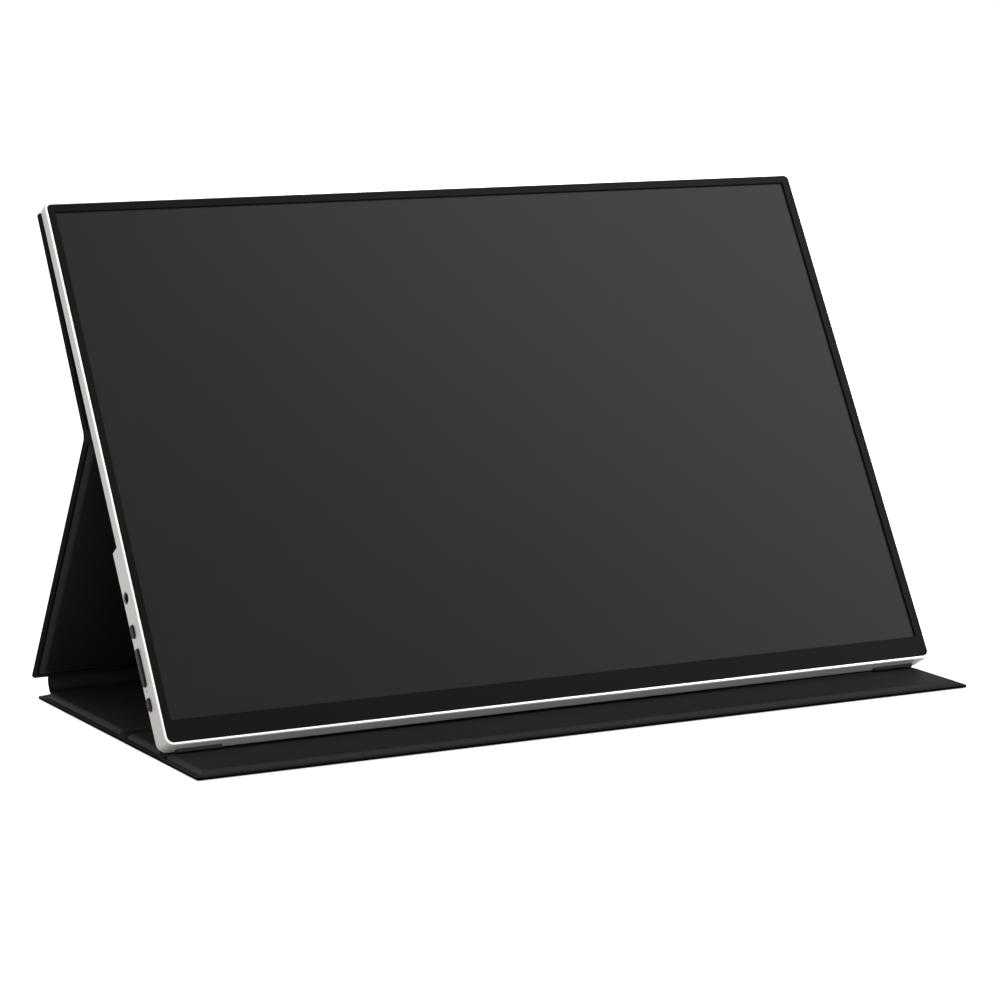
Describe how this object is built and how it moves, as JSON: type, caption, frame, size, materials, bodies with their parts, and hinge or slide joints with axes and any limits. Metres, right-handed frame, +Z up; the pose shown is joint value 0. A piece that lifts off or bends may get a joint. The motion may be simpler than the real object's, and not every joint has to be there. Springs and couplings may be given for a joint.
{
  "type": "portable monitor with cover",
  "caption": "Slim flat display with side keys and sockets, propped up in a folding leather cover whose leg and grooved base hold it leaning back.",
  "frame": {"origin": "middle of the footprint, on the table the cover lies on", "axes": "+X along the screen's width to the viewer's right, +Y to the back, +Z up"},
  "size_m": [0.3549, 0.169, 0.205],
  "materials": {
    "housing": "anodised satin, silver",
    "bezel": "matt black film",
    "display": "dark anti-glare screen, switched off",
    "light_guide": "clear acrylic",
    "reflector": "white film",
    "lamps": "white strip with pale lamps",
    "sheet_steel": "thin zinc-coated sheet",
    "circuit_board": "green solder mask",
    "ribbon": "flat white film",
    "chips": "moulded black",
    "steel": "plain steel",
    "jack_plastic": "moulded black",
    "lamp_lens": "clear lens",
    "socket_metal": "drawn nickel-plated shell",
    "speaker_plastic": "moulded black",
    "foam": "closed-cell foam",
    "foot_rubber": "matt black",
    "key_plastic": "satin black",
    "cover_outer": "smooth black coated leather",
    "cover_inner": "smooth black coated leather",
    "cover_board": "stiff fibre board",
    "magnet": "nickel-plated",
    "cover_fold": "smooth black coated leather, bent"
  },
  "bodies": {
    "monitor": {"rear_shell": "housing", "front_bezel": "bezel", "display_glass": "display", "light_guide": "light_guide", "reflector_sheet": "reflector", "led_bar": "lamps", "display_tray": "sheet_steel", "driver_board": "circuit_board", "display_cable": "ribbon", "main_board": "circuit_board", "board_parts": "chips", "key_board": "circuit_board", "key_switches": "chips", "board_screws": "steel", "headphone_jack": "jack_plastic", "status_lamp": "lamp_lens", "usb_socket_low": "socket_metal", "usb_socket_high": "socket_metal", "mini_hdmi_socket": "socket_metal", "speaker_left": "speaker_plastic", "speaker_right": "speaker_plastic", "speaker_seals": "foam", "catch_plates": "sheet_steel", "foot_left": "foot_rubber", "foot_right": "foot_rubber", "rocker_pin": "steel", "back_panel_skin": "cover_outer", "back_panel_board": "cover_board", "back_panel_lining": "cover_inner", "back_panel_magnets": "magnet", "fold_crease": "cover_fold"},
    "leg": {"leg_skin": "cover_outer", "leg_board": "cover_board", "leg_lining": "cover_inner", "leg_crease": "cover_fold"},
    "spine": {"spine_skin": "cover_outer", "spine_lining": "cover_inner"},
    "rear_base": {"rear_base_skin": "cover_outer", "rear_base_board": "cover_board", "rear_base_lining": "cover_inner", "base_crease": "cover_fold", "rear_groove": "cover_fold"},
    "mid_base": {"mid_base_skin": "cover_outer", "mid_base_board": "cover_board", "mid_base_lining": "cover_inner", "stand_groove": "cover_fold"},
    "front_base": {"front_base_skin": "cover_outer", "front_base_board": "cover_board", "front_base_lining": "cover_inner", "front_base_magnets": "magnet"},
    "power_key": {"power_key": "key_plastic"},
    "return_key": {"return_key": "key_plastic"},
    "rocker_key": {"rocker_key": "key_plastic"}
  },
  "joints": [
    {"name": "stand_fold", "type": "hinge", "parent": "monitor", "child": "leg", "pos_m": [0, 0.02164, 0.11581], "axis": [1, 0, 0], "range_deg": [-57, 0], "deforming": ["fold_crease"]},
    {"name": "leg_crease_fold", "type": "hinge", "parent": "leg", "child": "spine", "pos_m": [0, 0.08403, 0.0061], "axis": [1, 0, 0], "range_deg": [0, 63.12], "deforming": ["leg_crease"]},
    {"name": "base_crease_fold", "type": "hinge", "parent": "spine", "child": "rear_base", "pos_m": [0, 0.08038, 0.0006], "axis": [1, 0, 0], "range_deg": [0, 56.5], "deforming": ["base_crease"]},
    {"name": "rear_groove_fold", "type": "hinge", "parent": "rear_base", "child": "mid_base", "pos_m": [0, -0.00764, 0.0006], "axis": [1, 0, 0], "range_deg": [0, 90], "deforming": ["rear_groove"]},
    {"name": "stand_groove_fold", "type": "hinge", "parent": "mid_base", "child": "front_base", "pos_m": [0, -0.04624, 0.0006], "axis": [1, 0, 0], "range_deg": [-9, 90], "deforming": ["stand_groove"]},
    {"name": "power_press", "type": "slide", "parent": "monitor", "child": "power_key", "axis": [1, 0, 0], "range_m": [0, 0.0004], "stiffness_N_per_m": 500, "springref_m": -0.0004},
    {"name": "return_press", "type": "slide", "parent": "monitor", "child": "return_key", "axis": [1, 0, 0], "range_m": [0, 0.0004], "stiffness_N_per_m": 500, "springref_m": -0.0004},
    {"name": "rocker_tilt", "type": "hinge", "parent": "monitor", "child": "rocker_key", "pos_m": [-0.17425, -0.03084, 0.03297], "axis": [0, -0.8613, 0.5081], "range_deg": [-2, 2], "stiffness_Nm_per_rad": 0.02}
  ],
  "couplings": [
    {"joint": "leg_crease_fold", "follows": "stand_fold", "ratio": -1.1074},
    {"joint": "base_crease_fold", "follows": "stand_fold", "ratio": -0.99122}
  ]
}
